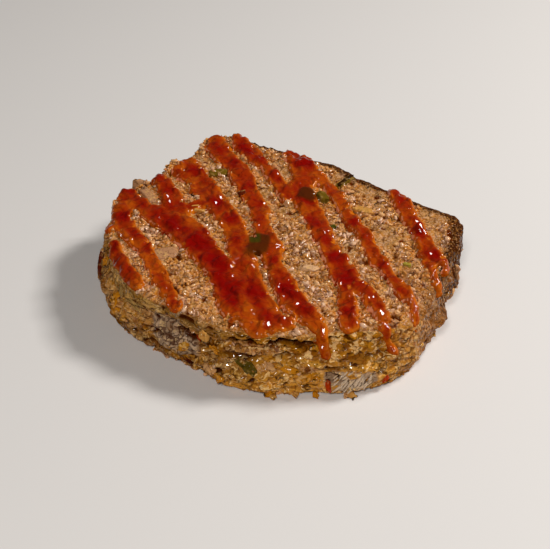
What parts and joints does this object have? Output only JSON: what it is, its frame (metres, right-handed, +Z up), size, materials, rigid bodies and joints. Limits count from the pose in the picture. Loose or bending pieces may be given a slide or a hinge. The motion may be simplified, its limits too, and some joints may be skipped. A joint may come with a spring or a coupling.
{
  "type": "meatloaf slice",
  "caption": "Thick meatloaf slice lying flat, with a crumbly cut face on top, browned uneven sides and diagonal stripes of glossy tomato glaze.",
  "frame": {"origin": "middle of the underside: the bottom centre of the slice's box", "axes": "+Z up, out of the cut face that shows; the long straight side of the slice faces +X and +Y, and its rounded crown faces -X and -Y"},
  "size_m": [0.1218, 0.121, 0.0232],
  "materials": {
    "meat": "moist crumbly cooked ground meat, browned and oily on the sides",
    "glaze": "glossy cooked tomato glaze",
    "pepper": "cooked green pepper dice, moist",
    "onion": "soft cooked onion, moist"
  },
  "bodies": {
    "root": {"meatloaf": "meat"}
  },
  "joints": []
}
